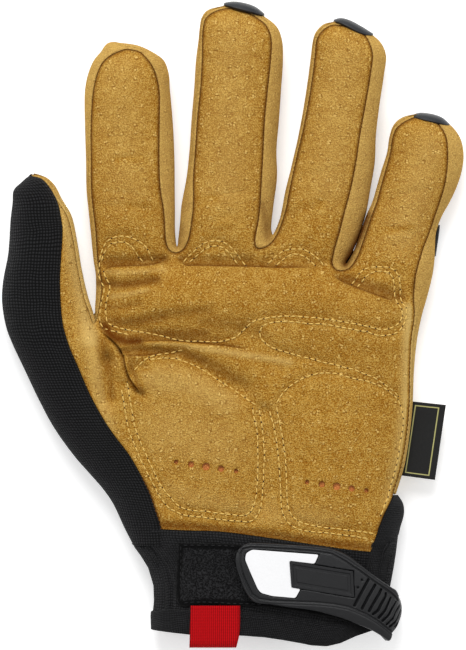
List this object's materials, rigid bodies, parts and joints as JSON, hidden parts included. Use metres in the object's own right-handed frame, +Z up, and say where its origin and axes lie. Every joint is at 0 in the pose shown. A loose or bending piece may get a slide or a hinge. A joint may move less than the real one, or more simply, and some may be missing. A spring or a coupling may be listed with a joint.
{
  "type": "leather work glove",
  "caption": "Left-hand suede work glove lying palm up, with black textile back, rubber guards, padded palm, ribbed wrist closure tab and pull loop.",
  "frame": {"origin": "centre of the bounding box in plan, on the surface that the glove lies on", "axes": "+Y from the wrist to the fingertips, +X from the thumb to the little finger, +Z up out of the palm"},
  "size_m": [0.1846, 0.2585, 0.0263],
  "materials": {
    "suede": "tan pimpled suede, matte",
    "black_textile": "black knitted textile, matte",
    "black_rubber": "moulded soft rubber, satin",
    "white_plastic": "matte",
    "red_ribbon": "ribbed woven ribbon",
    "orange_foam": "closed-cell foam, matte",
    "label_cloth": "woven tag"
  },
  "bodies": {
    "root": {"palm_leather": "suede", "thenar_pad": "orange_foam", "heel_pad": "orange_foam", "fourchette_index_middle": "suede", "fourchette_middle_ring": "suede", "fourchette_ring_little": "suede", "index_thumb_side": "suede", "ulnar_side": "suede", "thumb_back": "black_textile", "back_panel": "black_textile", "knuckle_guard": "black_rubber", "middle_guard": "black_rubber", "ring_guard": "black_rubber", "little_guard": "black_rubber", "wrist_gusset": "black_textile", "cuff_textile": "black_textile", "hem_binding": "black_textile", "loop_patch": "black_textile", "closure_tab": "black_rubber", "tab_inset": "white_plastic", "tab_plate": "black_rubber", "pull_loop": "red_ribbon", "side_label": "label_cloth"}
  },
  "joints": []
}
